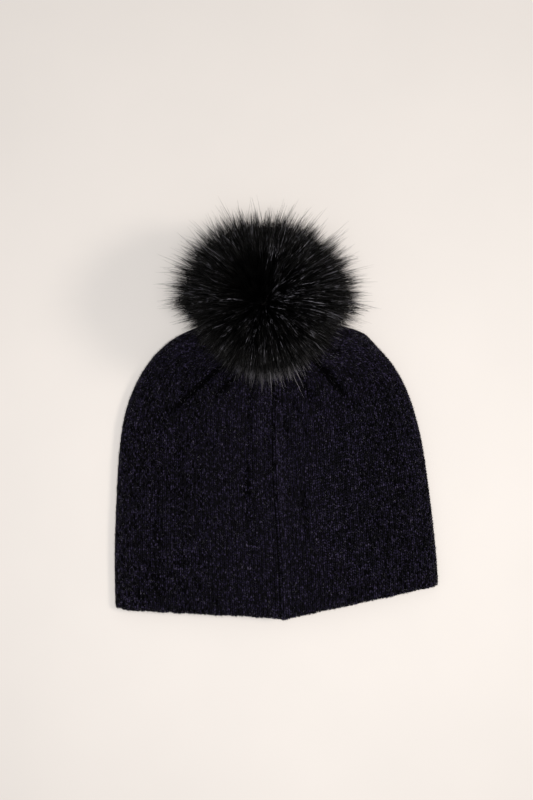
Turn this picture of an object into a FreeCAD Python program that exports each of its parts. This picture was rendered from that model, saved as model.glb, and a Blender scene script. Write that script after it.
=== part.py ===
"""Pom pom beanie lying flat, with a fleece lining and a pom pom on a press stud.

Frame: millimetres. The hat's flat underside lies at Z = 0. +Y runs from the hem to the
crown, +X to the right seen from above, +Z up. The origin is 100 mm above the hem's
lowest point, on the underside.

The shell and the lining are nested lofts through ellipses. The press stud, the yarn
that gathers the crown and the pom pom are all made about their own vertical axis, with
level 0 at the gathered crown's face, and are then placed together on the crown.
"""

import FreeCAD
import Part
import math
import os
import Sketcher

SIZES = {
    # the shell's outline, seen from above
    "hat_length": 205,
    "half_width": 112.3,
    "outline_power": 3.3,
    "outline_root": 3.2,
    "hem_side": 100,
    "hem_overhang": 10,
    "middle_at_hem": -1,
    "middle_shift": -5.5,
    "middle_settles": 0.68,
    # its height
    "edge_level": 4,
    "underside_allowance": 1,
    "rise_at_hem": 10,
    "rise_gain": 12,
    "nose_power": 10,
    "nose_root": 2.5,
    # the layers
    "knit_thickness": 2.1,
    "layer_gap": 0.15,
    "fleece_thickness": 1.45,
    # the hem's two straight runs meet at the seam
    "hem_low_x": 4.5,
    "hem_left_slope": 2,
    "hem_right_slope": 12,
    "lining_recess": 3,
    # the back seam
    "seam_at_hem": 2.4,
    "seam_shift": -8.4,
    "seam_power": 0.85,
    "seam_start": 0.03,
    "seam_end": 0.8,
    "seam_width": 1.7,
    "seam_depth": 1.35,
    "seam_thread_radius": 0.45,
    "seam_thread_sink": 0.75,
    "stitch_share": 0.8,
    # hem stitches
    "hem_stitch_radius": 0.4,
    "hem_stitch_length": 4.6,
    "hem_stitch_reach": 92,
    "hem_stitch_inset": 1.6,
    "hem_stitch_clearance": 0.3,
    # care label
    "label_width": 24,
    "label_height": 16,
    "label_thickness": 0.4,
    "label_x": -98,
    "label_y": -85,
    "label_clearance": 0.1,
    "label_stitch_radius": 0.25,
    "label_stitch_length": 3,
    # where the pom pom's axis leaves the crown
    "crown_x": -7,
    "crown_y": 92,
    "crown_level": 19.8,
    "crown_tilt": 36.7,
    "crown_heading": 7.5,
    "crown_hole_radius": 12,
    "crown_hole_depth": 8,
    "crown_hole_top": 10,
    # gathered crown
    "yarn_ring_radius": 9.3,
    "yarn_radius": 0.9,
    "yarn_level": -1,
    "gather_radius": 7.6,
    "gather_thickness": 2,
    "felt_thickness": 1.2,
    "stud_hole_radius": 2,
    # socket half of the press stud
    "socket_radius": 6,
    "socket_height": 3.2,
    "socket_floor": 0.7,
    "socket_bore": 3.6,
    "socket_post_radius": 1.9,
    "socket_post_top": 0.5,
    "cap_thickness": 0.8,
    "groove_level": 2,
    "groove_radius": 0.55,
    "spring_ring_radius": 3.55,
    "spring_wire_radius": 0.32,
    "spring_sweep": 320,
    # stud half of the press stud
    "stud_tip": 0.9,
    "stud_head_top": 1.7,
    "stud_head_radius": 3,
    "stud_neck_radius": 2.5,
    "stud_flange_level": 3.4,
    "stud_top": 4.2,
    "stud_bore": 1.55,
    "rivet_radius": 1.5,
    "rivet_cap_radius": 4.5,
    "rivet_cap_level": 5.8,
    "rivet_cap_thickness": 0.7,
    "rivet_tip": 1.75,
    # pom pom
    "disc_level": 4.25,
    "disc_thickness": 1.5,
    "disc_radius": 11,
    "disc_hole_radius": 1.6,
    "skin_level": 35.7,
    "skin_radius": 31,
    "skin_thickness": 1.2,
    "skin_mouth_level": 7.2,
    "fill_radius": 29.6,
    "fill_level": 7.6,
    "drawstring_ring_radius": 9.2,
    "drawstring_radius": 0.55,
    "drawstring_level": 6.45,
    "pile_level": 44.6,
    "pile_radius": 54.2,
    "pile_cavity_radius": 31.2,
    "pile_mouth_level": 7.5,
    "pile_mouth_radius": 12.8,
    "pile_flare": 4.95,
    "pile_flare_height": 100,
}
STATIONS = (0, 0.15, 0.32, 0.5, 0.66, 0.78, 0.86, 0.92, 0.955, 0.98, 0.995)
SEAM_STITCHES = 24
HEM_STITCHES = 20
LABEL_STITCHES = 5

UP = FreeCAD.Vector(0, 0, 1)
ACROSS = FreeCAD.Vector(1, 0, 0)

doc = FreeCAD.newDocument("pom_pom_beanie")
sheet = doc.addObject("Spreadsheet::Sheet", "Sizes")
for row, (alias, number) in enumerate(SIZES.items(), start=1):
    sheet.set(f"A{row}", alias)
    sheet.set(f"B{row}", str(number))
    sheet.setAlias(f"B{row}", alias)
doc.recompute()


def size(alias):
    """The number in the sheet's cell with this alias."""
    return float(sheet.get(alias))


def worth(expression):
    """The number that an expression over the sheet's aliases gives."""
    return float(sheet.evalExpression(expression))


def bind(thing, **expressions):
    """Bind properties of a document object to expressions; base_x to Placement.Base.x."""
    for name, expression in expressions.items():
        path = "Placement.Base." + name[-1] if name.startswith("base_") else name
        thing.setExpression(path, expression)
    return thing


def primitive(kind, name, **expressions):
    return bind(doc.addObject("Part::" + kind, name), **expressions)


def cut(name, base, tool):
    result = doc.addObject("Part::Cut", name)
    result.Base = base
    result.Tool = tool
    return result


def common(name, base, tool):
    result = doc.addObject("Part::Common", name)
    result.Base = base
    result.Tool = tool
    return result


def group(kind, name, members):
    """Several shapes as one: MultiFuse joins them, Compound keeps them separate."""
    result = doc.addObject("Part::" + kind, name)
    if kind == "Compound":
        result.Links = members
    else:
        result.Shapes = members
    return result


# The hat's layers


def section(share, inset):
    """Half-width, rise, middle and distance from the hem of one layer's cross-section."""
    outline = (1 - share ** size("outline_power")) ** (1 / size("outline_root"))
    nose = (1 - share ** size("nose_power")) ** (1 / size("nose_root"))
    width = (size("half_width") - inset) * outline
    rise = (size("rise_at_hem") + size("rise_gain") * share - inset) * nose
    settled = min(1, share / size("middle_settles"))
    middle = size("middle_at_hem") + size("middle_shift") * settled
    y = share * (size("hat_length") - inset) - size("hem_side")
    return width, rise, middle, y


def surface_level(share, x, inset):
    """Height of a layer's upper side at a share of the length and a distance across."""
    width, rise, middle, _ = section(share, inset)
    offset = (x - middle) / width
    return size("edge_level") + rise * math.sqrt(1 - offset * offset)


def section_wire(share, inset, allowance, back=0):
    """An upright arc of an ellipse closed by a line at the underside less an allowance."""
    width, rise, middle, y = section(share, inset)
    centre = FreeCAD.Vector(middle, y - back, size("edge_level"))
    ellipse = Part.Ellipse(centre + ACROSS * width, centre + UP * rise, centre)
    start = math.asin((inset - allowance - size("edge_level")) / rise)
    arc = Part.ArcOfEllipse(ellipse, start, math.pi - start)
    flat = Part.LineSegment(arc.EndPoint, arc.StartPoint)
    return Part.Wire([arc.toShape(), flat.toShape()])


def layer_solid(name, inset, allowance=0):
    """The hat's outside made smaller all round by inset, run on a little past the hem."""
    wires = [section_wire(0, inset, allowance, size("hem_overhang"))]
    wires += [section_wire(share, inset, allowance) for share in STATIONS]
    solid = doc.addObject("Part::Feature", name)
    solid.Shape = Part.makeLoft(wires, True, False)
    return solid


def flat_outside():
    """The outermost layer with its underside cut off flat at level 0."""
    ground = primitive(
        "Box",
        "ground",
        Length="4 * Sizes.half_width",
        Width="4 * Sizes.half_width",
        Height="2 * Sizes.underside_allowance",
        base_x="-2 * Sizes.half_width",
        base_y="-2 * Sizes.half_width",
        base_z="-2 * Sizes.underside_allowance",
    )
    deeper = layer_solid("shell_outside", 0, size("underside_allowance"))
    return cut("shell_flat", deeper, ground)


def hem_trim(name, recess):
    """Everything beyond the hem: two boxes whose edges cross at its lowest point."""
    reach = 2 * size("half_width")
    corner = FreeCAD.Placement(
        FreeCAD.Vector(-reach, -reach / 2, -reach / 4), FreeCAD.Rotation()
    )
    lowest = FreeCAD.Vector(size("hem_low_x"), recess - size("hem_side"), 0)
    boxes = []
    for side, turn in (
        ("left", -size("hem_left_slope")),
        ("right", size("hem_right_slope")),
    ):
        box = primitive(
            "Box",
            f"{name}_{side}",
            Length="4 * Sizes.half_width",
            Width="Sizes.half_width",
            Height="Sizes.half_width",
        )
        box.Placement = FreeCAD.Placement(lowest, FreeCAD.Rotation(UP, turn)) * corner
        boxes.append(box)
    return group("MultiFuse", name, boxes)


crown = FreeCAD.Placement(
    FreeCAD.Vector(size("crown_x"), size("crown_y"), size("crown_level")),
    FreeCAD.Rotation(UP, size("crown_heading"))
    * FreeCAD.Rotation(ACROSS, -size("crown_tilt")),
)


def crown_hole(name):
    hole = primitive(
        "Cylinder",
        name,
        Radius="Sizes.crown_hole_radius",
        Height="Sizes.crown_hole_depth + Sizes.crown_hole_top",
    )
    below = FreeCAD.Vector(0, 0, -size("crown_hole_depth"))
    hole.Placement = crown * FreeCAD.Placement(below, FreeCAD.Rotation())
    return hole


def along(start, end):
    """A placement at start whose own Z axis points to end."""
    return FreeCAD.Placement(start, FreeCAD.Rotation(UP, end - start))


def seam_point(index):
    """Where stitch number index begins, on the shell's upper side."""
    first = size("seam_start")
    share = first + (size("seam_end") - first) * index / SEAM_STITCHES
    x = size("seam_at_hem") + size("seam_shift") * share ** size("seam_power")
    return FreeCAD.Vector(x, section(share, 0)[3], surface_level(share, x, 0))


def seam_groove():
    """A square channel that follows the seam, half sunk into the shell."""
    sections = []
    for index in range(SEAM_STITCHES + 1):
        slice_across = primitive(
            "Plane",
            f"seam_groove_{index}",
            Length="Sizes.seam_width",
            Width="3 * Sizes.seam_depth",
        )
        corner = FreeCAD.Vector(-size("seam_width") / 2, 0, -size("seam_depth"))
        slice_across.Placement = FreeCAD.Placement(
            seam_point(index) + corner, FreeCAD.Rotation(ACROSS, 90)
        )
        sections.append(slice_across)
    groove = doc.addObject("Part::Loft", "seam_groove")
    groove.Sections = sections
    groove.Solid = True
    groove.Ruled = True
    return groove


def seam_thread():
    stitches = []
    sink = UP * -size("seam_thread_sink")
    for index in range(SEAM_STITCHES):
        start = seam_point(index) + sink
        end = seam_point(index + 1) + sink
        stitch = primitive(
            "Cylinder", f"seam_stitch_{index}", Radius="Sizes.seam_thread_radius"
        )
        stitch.Height = (end - start).Length * size("stitch_share")
        stitch.Placement = along(start, end)
        stitches.append(stitch)
    return group("Compound", "back_seam_thread", stitches)


def hem_point(x, lifted):
    """A point just inside the hem, on the lower layer or, lifted, under the upper one."""
    from_low = x - size("hem_low_x")
    side = "hem_right_slope" if from_low > 0 else "hem_left_slope"
    rise = abs(from_low) * math.tan(math.radians(size(side)))
    y = rise - size("hem_side") + size("hem_stitch_inset")
    apart = size("hem_stitch_radius") + size("hem_stitch_clearance")
    level = size("knit_thickness") + apart
    if lifted:
        share = (y + size("hem_side")) / size("hat_length")
        level = surface_level(share, x, size("knit_thickness")) - apart
    return FreeCAD.Vector(x, y, level)


def hem_stitches():
    reach = size("hem_stitch_reach")
    pitch = 2 * reach / HEM_STITCHES
    stitches = []
    for lifted in (False, True):
        for index in range(HEM_STITCHES):
            start = hem_point(index * pitch - reach, lifted)
            end = hem_point((index + 1) * pitch - reach, lifted)
            stitch = primitive(
                "Cylinder",
                f"hem_stitch_{'upper' if lifted else 'lower'}_{index}",
                Radius="Sizes.hem_stitch_radius",
                Height="Sizes.hem_stitch_length",
            )
            stitch.Placement = along(start, end)
            stitches.append(stitch)
    return group("Compound", "hem_stitching", stitches)


FLEECE_INSIDE = "(Sizes.knit_thickness + Sizes.layer_gap + Sizes.fleece_thickness)"


def make_shell():
    knit = size("knit_thickness")
    walls = cut("shell_walls", flat_outside(), layer_solid("shell_inside", knit))
    open_hem = cut("shell_hemmed", walls, hem_trim("shell_trim", 0))
    open_crown = cut("shell_open", open_hem, crown_hole("shell_hole"))
    return cut("knit_shell", open_crown, seam_groove())


def make_lining():
    outside = size("knit_thickness") + size("layer_gap")
    inside = outside + size("fleece_thickness")
    walls = cut(
        "lining_walls",
        layer_solid("lining_outside", outside),
        layer_solid("lining_inside", inside),
    )
    open_hem = cut("lining_hemmed", walls, hem_trim("lining_trim", size("lining_recess")))
    return cut("fleece_lining", open_hem, crown_hole("lining_hole"))


def make_label():
    """A plain label flat on the lining's lower layer."""
    return primitive(
        "Box",
        "care_label",
        Length="Sizes.label_width",
        Width="Sizes.label_height",
        Height="Sizes.label_thickness",
        base_x="Sizes.label_x",
        base_y="Sizes.label_y",
        base_z=FLEECE_INSIDE + " + Sizes.label_clearance",
    )


def make_label_stitches():
    stitches = []
    for index in range(LABEL_STITCHES):
        stitch = primitive(
            "Cylinder",
            f"label_stitch_{index}",
            Radius="Sizes.label_stitch_radius",
            Height="Sizes.label_stitch_length",
            base_x=f"Sizes.label_x + Sizes.label_width * {index + 0.2} / {LABEL_STITCHES}",
            base_y="Sizes.label_y + Sizes.label_height - 2 * Sizes.label_stitch_radius",
            base_z=FLEECE_INSIDE
            + " + 2 * Sizes.label_clearance + Sizes.label_thickness"
            + " + Sizes.label_stitch_radius",
        )
        stitch.Placement.Rotation = FreeCAD.Rotation(FreeCAD.Vector(0, 1, 0), 90)
        stitches.append(stitch)
    return group("Compound", "label_stitches", stitches)


# Round pieces about the pom pom's axis


def turned(name, outline):
    """A solid of revolution; outline holds the (radius, level) of each corner."""
    body = doc.addObject("PartDesign::Body", name)
    sketch = body.newObject("Sketcher::SketchObject", name + "_outline")
    upright = [f for f in body.Origin.OriginFeatures if f.Role == "XZ_Plane"][0]
    sketch.AttachmentSupport = [(upright, "")]
    sketch.MapMode = "FlatFace"
    corners = [FreeCAD.Vector(worth(r), worth(level), 0) for r, level in outline]
    count = len(corners)
    for index, corner in enumerate(corners):
        sketch.addGeometry(Part.LineSegment(corner, corners[(index + 1) % count]))
    for index, (radius, level) in enumerate(outline):
        sketch.addConstraint(
            Sketcher.Constraint("Coincident", index, 2, (index + 1) % count, 1)
        )
        if radius == "0":
            sketch.addConstraint(Sketcher.Constraint("PointOnObject", index, 1, -2))
        else:
            place_corner(sketch, "DistanceX", index, corners[index].x, radius)
        place_corner(sketch, "DistanceY", index, corners[index].y, level)
    spin = body.newObject("PartDesign::Revolution", name + "_turned")
    spin.Profile = sketch
    spin.ReferenceAxis = (sketch, ["V_Axis"])
    spin.Angle = 360
    body.Tip = spin
    body.Placement = crown
    return body


def place_corner(sketch, direction, index, distance, expression):
    """Hold one corner of an outline at a bound distance from the sketch's origin."""
    number = sketch.addConstraint(
        Sketcher.Constraint(direction, -1, 1, index, 1, distance)
    )
    label = f"{'radius' if direction == 'DistanceX' else 'level'}_{index}"
    sketch.renameConstraint(number, label)
    sketch.setExpression("Constraints." + label, expression)


def washer(name, hole, radius, bottom, top):
    return turned(name, [(hole, bottom), (radius, bottom), (radius, top), (hole, top)])


def ring(name, radius, wire, level, **more):
    torus = primitive("Torus", name, Radius1=radius, Radius2=wire, **more)
    torus.Placement = crown * FreeCAD.Placement(
        FreeCAD.Vector(0, 0, worth(level)), FreeCAD.Rotation()
    )
    return torus


def ball(name, radius, level):
    return primitive("Sphere", name, Radius=radius, base_z=level)


def above_level(name, level):
    """A wide cylinder that keeps what is above a level."""
    return primitive(
        "Cylinder",
        name,
        Radius="2 * Sizes.pile_radius",
        Height="4 * Sizes.pile_radius",
        base_z=level,
    )


def make_socket_cap():
    back = "-Sizes.gather_thickness - Sizes.felt_thickness"
    return turned(
        "socket_cap",
        [
            ("0", back + " - Sizes.cap_thickness"),
            ("Sizes.socket_radius", back + " - Sizes.cap_thickness"),
            ("Sizes.socket_radius", back),
            ("Sizes.socket_post_radius", back),
            ("Sizes.socket_post_radius", "Sizes.socket_post_top"),
            ("0", "Sizes.socket_post_top"),
        ],
    )


def make_socket():
    body = turned(
        "socket_blank",
        [
            ("Sizes.socket_post_radius", "0"),
            ("Sizes.socket_radius", "0"),
            ("Sizes.socket_radius", "Sizes.socket_height"),
            ("Sizes.socket_bore", "Sizes.socket_height"),
            ("Sizes.socket_bore", "Sizes.socket_floor"),
            ("Sizes.socket_post_radius", "Sizes.socket_floor"),
        ],
    )
    groove = ring(
        "socket_groove", "Sizes.socket_bore", "Sizes.groove_radius", "Sizes.groove_level"
    )
    return cut("snap_socket", body, groove)


def make_spring():
    return ring(
        "snap_spring",
        "Sizes.spring_ring_radius",
        "Sizes.spring_wire_radius",
        "Sizes.groove_level",
        Angle3="Sizes.spring_sweep",
    )


def make_stud():
    return turned(
        "snap_stud",
        [
            ("Sizes.stud_bore", "Sizes.stud_tip"),
            ("Sizes.stud_neck_radius", "Sizes.stud_tip"),
            ("Sizes.stud_head_radius", "(Sizes.stud_tip + Sizes.stud_head_top) / 2"),
            ("Sizes.stud_neck_radius", "Sizes.stud_head_top"),
            ("Sizes.stud_neck_radius", "Sizes.stud_flange_level"),
            ("Sizes.socket_radius", "Sizes.stud_flange_level"),
            ("Sizes.socket_radius", "Sizes.stud_top"),
            ("Sizes.stud_bore", "Sizes.stud_top"),
        ],
    )


def make_rivet():
    cap_top = "Sizes.rivet_cap_level + Sizes.rivet_cap_thickness"
    return turned(
        "stud_rivet",
        [
            ("0", "Sizes.rivet_tip"),
            ("Sizes.rivet_radius", "Sizes.rivet_tip"),
            ("Sizes.rivet_radius", "Sizes.rivet_cap_level"),
            ("Sizes.rivet_cap_radius", "Sizes.rivet_cap_level"),
            ("Sizes.rivet_cap_radius", cap_top),
            ("0", cap_top),
        ],
    )


def make_skin():
    outside = ball("skin_outside", "Sizes.skin_radius", "Sizes.skin_level")
    inner_radius = "Sizes.skin_radius - Sizes.skin_thickness"
    inside = ball("skin_inside", inner_radius, "Sizes.skin_level")
    mouth = above_level("skin_mouth", "Sizes.skin_mouth_level")
    skin = common("pom_skin", cut("skin_walls", outside, inside), mouth)
    skin.Placement = crown
    return skin


def make_fill():
    whole = ball("fill_ball", "Sizes.fill_radius", "Sizes.skin_level")
    fill = common("pom_fill", whole, above_level("fill_floor", "Sizes.fill_level"))
    fill.Placement = crown
    return fill


def make_pile():
    """The fur as one thick ball, hollow for the skin, dished below over the crown."""
    outside = ball("pile_outside", "Sizes.pile_radius", "Sizes.pile_level")
    cavity = ball("pile_cavity", "Sizes.pile_cavity_radius", "Sizes.skin_level")
    flare = primitive(
        "Cone",
        "pile_flare",
        Radius1="Sizes.pile_mouth_radius",
        Radius2="Sizes.pile_mouth_radius + Sizes.pile_flare * Sizes.pile_flare_height",
        Height="Sizes.pile_flare_height",
        base_z="Sizes.pile_mouth_level",
    )
    hollow = cut("pile_hollow", outside, cavity)
    pile = common("pom_fur_pile", hollow, flare)
    pile.Placement = crown
    return pile


gather_back = "-Sizes.gather_thickness"
felt_back = gather_back + " - Sizes.felt_thickness"
pieces = [
    make_shell(),
    make_lining(),
    seam_thread(),
    hem_stitches(),
    make_label(),
    make_label_stitches(),
    ring("gather_yarn", "Sizes.yarn_ring_radius", "Sizes.yarn_radius", "Sizes.yarn_level"),
    washer("crown_gather", "Sizes.stud_hole_radius", "Sizes.gather_radius", gather_back, "0"),
    washer("felt_patch", "Sizes.stud_hole_radius", "Sizes.gather_radius", felt_back, gather_back),
    make_socket_cap(),
    make_socket(),
    make_spring(),
    make_stud(),
    make_rivet(),
    washer(
        "pom_base_disc",
        "Sizes.disc_hole_radius",
        "Sizes.disc_radius",
        "Sizes.disc_level",
        "Sizes.disc_level + Sizes.disc_thickness",
    ),
    make_skin(),
    ring(
        "pom_drawstring",
        "Sizes.drawstring_ring_radius",
        "Sizes.drawstring_radius",
        "Sizes.drawstring_level",
    ),
    make_fill(),
    make_pile(),
]
for piece in pieces:
    piece.Label = piece.Name
doc.recompute()

failed = [o.Name for o in doc.Objects if "Invalid" in o.State or "Error" in o.State]
if failed:
    raise RuntimeError("these objects failed: " + ", ".join(failed))
os.makedirs("parts", exist_ok=True)
for piece in pieces:
    shape = piece.Shape
    if shape.isNull() or not shape.isValid():
        raise RuntimeError(piece.Label + " has no valid shape")
    print(f"{piece.Label}: {len(shape.Solids)} solids, {shape.Volume:.1f} mm3")
    shape.exportStep(f"parts/{piece.Label}.step")
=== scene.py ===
"""Looks for the pom pom beanie: knitted shell, fleece lining, press stud and fur pom pom.

Shapes are worked out in millimetres in the frame the CAD model uses: +Y runs from the hem
to the crown, +X to the right seen from above, and the flat underside is at Z = 0. They
are scaled to metres as each mesh is made.
"""

import math

import bpy
import numpy as np
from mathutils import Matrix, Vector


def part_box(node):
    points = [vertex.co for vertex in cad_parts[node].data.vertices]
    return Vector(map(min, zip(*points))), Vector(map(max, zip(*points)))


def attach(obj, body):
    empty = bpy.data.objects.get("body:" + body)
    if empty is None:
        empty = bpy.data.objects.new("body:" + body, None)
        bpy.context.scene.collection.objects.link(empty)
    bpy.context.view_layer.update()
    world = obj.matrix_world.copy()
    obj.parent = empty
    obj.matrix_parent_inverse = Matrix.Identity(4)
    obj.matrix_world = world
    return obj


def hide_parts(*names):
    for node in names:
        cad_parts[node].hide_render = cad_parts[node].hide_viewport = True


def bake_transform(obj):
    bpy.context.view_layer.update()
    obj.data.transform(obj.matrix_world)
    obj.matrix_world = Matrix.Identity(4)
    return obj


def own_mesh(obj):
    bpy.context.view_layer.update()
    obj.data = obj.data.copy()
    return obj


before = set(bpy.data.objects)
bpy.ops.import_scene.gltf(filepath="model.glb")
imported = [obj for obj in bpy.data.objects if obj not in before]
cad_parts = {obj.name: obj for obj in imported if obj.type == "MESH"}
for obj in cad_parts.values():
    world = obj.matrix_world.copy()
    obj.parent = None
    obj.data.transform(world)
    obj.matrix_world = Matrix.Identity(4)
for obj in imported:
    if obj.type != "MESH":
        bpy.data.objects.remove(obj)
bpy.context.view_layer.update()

MM = 0.001
rng = np.random.default_rng(20261117)

# the hat's form, as in the CAD model
LENGTH = 205.0
HALF_WIDTH = 112.3
HEM_Y = -100.0
EDGE_LEVEL = 4.0
HEM_LOW_X = 4.5
HEM_LEFT_SLOPE = math.tan(math.radians(2.6))
HEM_RIGHT_SLOPE = math.tan(math.radians(12))

# knit
YARN_INSET = 0.6
FLOOR_GAP = 0.65
LEAST_HEIGHT = 0.60
WALES = 160
WALE_WIDTH = 2.8
COURSE = 1.92
COURSE_SLANT = 0.066
HEM_ROLL = 1.3
SHOULDER = 5.0
HEM_ROWS = 4
WALE_COLUMNS = 4
ROW_STEP = COURSE / 2
ROLL_STEPS = 10
SEAM_LINE = 40.78
COLUMNS = WALES * WALE_COLUMNS
ANGLE_STEPS = 200
LOOSE_FIBRES = 22000

# crown: the pom pom's axis leaves the hat at CROWN, and turns about it
CROWN = np.array([-7.0, 92.0, 19.8])
TILT = math.radians(36.7)
HEADING = math.radians(7.5)
CROWN_START = 0.8
MOUTH = 10.8
BEND_START = 17.5
CROWN_PIECES = 8

# pom pom
SKIN_LEVEL = 35.7
SKIN_RADIUS = 31.0
PILE_LEVEL = 44.6
FUR_RADIUS = 57.0
FUR_EDGE = 62.0
FUR_TOP = 121.0
HAIRS = 52000
TUFTS = 4200
HAIR_POINTS = 4
HAIR_SIDES = 3
FUR_LEAN = np.array([1.8, -3.2, 0.0])
# centre of a patch of painted shade in the fur, as x and y
FUR_SHADE_SPOT = (-20.0, 131.0)
WHORL = (-5.0, 110.0)

LOCAL_X = np.array([math.cos(HEADING), math.sin(HEADING), 0.0])
LEAN = math.sin(TILT)
AXIS = np.array([-LEAN * LOCAL_X[1], LEAN * LOCAL_X[0], math.cos(TILT)])
AXES = np.array([LOCAL_X, np.cross(AXIS, LOCAL_X), AXIS])


# Helpers


def smooth(t):
    """0 below 0, 1 above 1, and an even rise between."""
    t = np.clip(t, 0, 1)
    return t * t * (3 - 2 * t)


def keep_above(points, level):
    """Raise the points that lie below a level."""
    points[..., 2] = np.maximum(points[..., 2], level)


def bell(t):
    """1 at 0, falling away evenly on both sides."""
    return np.exp(-(t**2))


def unit(vectors):
    size = np.linalg.norm(vectors, axis=-1, keepdims=True)
    return vectors / np.maximum(size, 1e-9)


def from_local(points):
    """Points in the hat's frame from points about the pom pom's axis, level 0 at the crown."""
    return CROWN + np.asarray(points, float) @ AXES


def to_local(points):
    return (points - CROWN) @ AXES.T


def polar(points):
    """Distance from the pom pom's axis, bearing about it and level along it."""
    x, y, level = np.moveaxis(to_local(points), -1, 0)
    return np.hypot(x, y), np.arctan2(y, x), level


def turned(radius, angle, level):
    """Points at an angle and distance from an axis."""
    x = radius * np.cos(angle)
    return np.stack(np.broadcast_arrays(x, radius * np.sin(angle), level), -1)


def grid_faces(rows, columns, closed=False):
    """Quads over rows that each close on themselves; closed joins the last row to the first."""
    i = np.arange(rows if closed else rows - 1)[:, None] * columns
    j = np.arange(columns)[None, :]
    k = (j + 1) % columns
    above = (i + columns) % (rows * columns)
    return np.stack([i + j, i + k, above + k, above + j], -1).reshape(-1, 4)


def ring_faces(steps, corners):
    """Quads over a closed ring of closed outlines."""
    return grid_faces(steps, corners, True)[:, [0, 3, 2, 1]]


def lookup(table, row, column):
    """Values between the points of a table, which stand at whole rows and columns."""
    parted = []
    for place, size in zip((row, column), table.shape):
        place = np.clip(place, 0, size - 1.001)
        whole = place.astype(int)
        part = place - whole
        parted += [whole, part[..., None] if table.ndim == 3 else part]
    r, down, c, over = parted
    low = table[r, c] * (1 - over) + table[r, c + 1] * over
    high = table[r + 1, c] * (1 - over) + table[r + 1, c + 1] * over
    return low * (1 - down) + high * down


def add_object(name, data):
    thing = bpy.data.objects.new(name, data)
    bpy.context.scene.collection.objects.link(thing)
    return thing


def make_mesh(name, materials, vertices, faces, tones=None, uv=None):
    """An object from points and a list of face arrays, each of one corner count."""
    mesh = bpy.data.meshes.new(name)
    mesh.vertices.add(vertices.size // 3)
    mesh.vertices.foreach_set("co", (vertices * MM).astype(np.float32).ravel())
    corners = np.concatenate([f.ravel() for f in faces]).astype(np.int32)
    counts = np.concatenate([np.full(len(f), f.shape[1]) for f in faces])
    starts = np.concatenate([[0], np.cumsum(counts)[:-1]]).astype(np.int32)
    mesh.loops.add(len(corners))
    mesh.loops.foreach_set("vertex_index", corners)
    mesh.polygons.add(len(counts))
    mesh.polygons.foreach_set("loop_start", starts)
    if tones is not None:
        mesh.polygons.foreach_set("material_index", np.asarray(tones, np.int32))
    if uv is not None:
        layer = mesh.uv_layers.new(name="yarn")
        layer.uv.foreach_set("vector", uv[corners].astype(np.float32).ravel())
    mesh.update(calc_edges=True)
    mesh.polygons.foreach_set("use_smooth", np.ones(len(counts), bool))
    for finish in materials:
        mesh.materials.append(finish)
    return add_object(name, mesh)


def tube_arrays(paths, across, widths, heights, sides):
    """Points, side faces, end faces and UVs of many tubes. paths is (tubes, points, 3)."""
    tubes, points, _ = paths.shape
    along = unit(np.gradient(paths, axis=1))
    side = unit(across - along * (across * along).sum(-1, keepdims=True))
    up = np.cross(along, side)
    turn = 2 * np.pi * np.arange(sides) / sides
    ring = (
        side[:, :, None] * (np.cos(turn)[:, None] * widths[..., None, None])
        + up[:, :, None] * (np.sin(turn)[:, None] * heights[..., None, None])
    )
    vertices = (paths[:, :, None] + ring).reshape(-1, 3)
    start = np.arange(tubes)[:, None] * points * sides
    quads = (start[..., None] + grid_faces(points, sides)).reshape(-1, 4)
    near = start + np.arange(sides)[::-1]
    far = start + (points - 1) * sides + np.arange(sides)
    uv = np.empty((tubes, points, sides, 2))
    uv[..., 0] = np.arange(sides) / sides
    uv[..., 1] = (np.arange(points) / (points - 1))[:, None]
    return vertices, quads, np.concatenate([near, far]), uv.reshape(-1, 2)


def join_tubes(parts, sides, points):
    """Several sets of tubes, each with a tone per tube, as arrays for make_mesh."""
    vertices, quads, ends, uvs, tones = zip(*parts)
    bases = np.cumsum([0] + [len(some) for some in vertices])
    faces = [
        np.concatenate([some + base for some, base in zip(group, bases)])
        for group in (quads, ends)
    ]
    per_face = [np.repeat(tone, sides * (points - 1)) for tone in tones]
    per_face += [np.tile(tone, 2) for tone in tones]
    return np.concatenate(vertices), faces, np.concatenate(per_face), np.concatenate(uvs)


def make_tubes(name, paths, across, widths, sides, materials, tones):
    """One object of many closed tubes; tones gives each tube's material."""
    arrays = (*tube_arrays(paths, across, widths, widths, sides), tones)
    return make_mesh(name, materials, *join_tubes([arrays], sides, paths.shape[1]))


def make_hairs(name, some, hairs, materials, body, slot, *nodes):
    """A piece of the hairs numbered in some; hairs is (paths, across, widths, tones)."""
    paths, across, widths, tones = (values[some] for values in hairs)
    piece = make_tubes(name, paths, across, widths, HAIR_SIDES, materials, tones)
    return settle(piece, body, slot, *nodes)


def yarn_loop(name, radius, thick, level, twists, body, node):
    """A closed ring of two-ply yarn about the pom pom's axis, which replaces a node."""
    steps = twists * 10
    sides = 6
    plies = 2
    angle = np.linspace(0, 2 * np.pi, steps, endpoint=False)
    turn = (2 * np.pi * np.arange(sides) / sides)[None, :, None]
    vertices = []
    for ply in range(plies):
        phase = 2 * np.pi * ply / plies + angle * twists
        r = radius + thick * 0.5 * np.cos(phase)
        centre = turned(r, angle, level + thick * 0.5 * np.sin(phase))
        along = unit(np.roll(centre, -1, 0) - np.roll(centre, 1, 0))
        side = unit(np.cross(along, [0, 0, 1.0]))
        up = np.cross(side, along)
        ring = side[:, None] * np.cos(turn) + up[:, None] * np.sin(turn)
        vertices.append(centre[:, None] + ring * thick * 0.55)
    faces = [ring_faces(steps, sides) + ply * steps * sides for ply in range(plies)]
    thing = make_mesh(name, [thread], from_local(np.concatenate(vertices)), faces)
    return settle(thing, body, "sewing_thread", node)


def settle(thing, body, slot, *nodes):
    """Put a finished piece on its body and hide the nodes it stands for. The slot is not used."""
    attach(thing, body)
    if nodes:
        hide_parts(*nodes)
    return thing


# Materials


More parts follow.
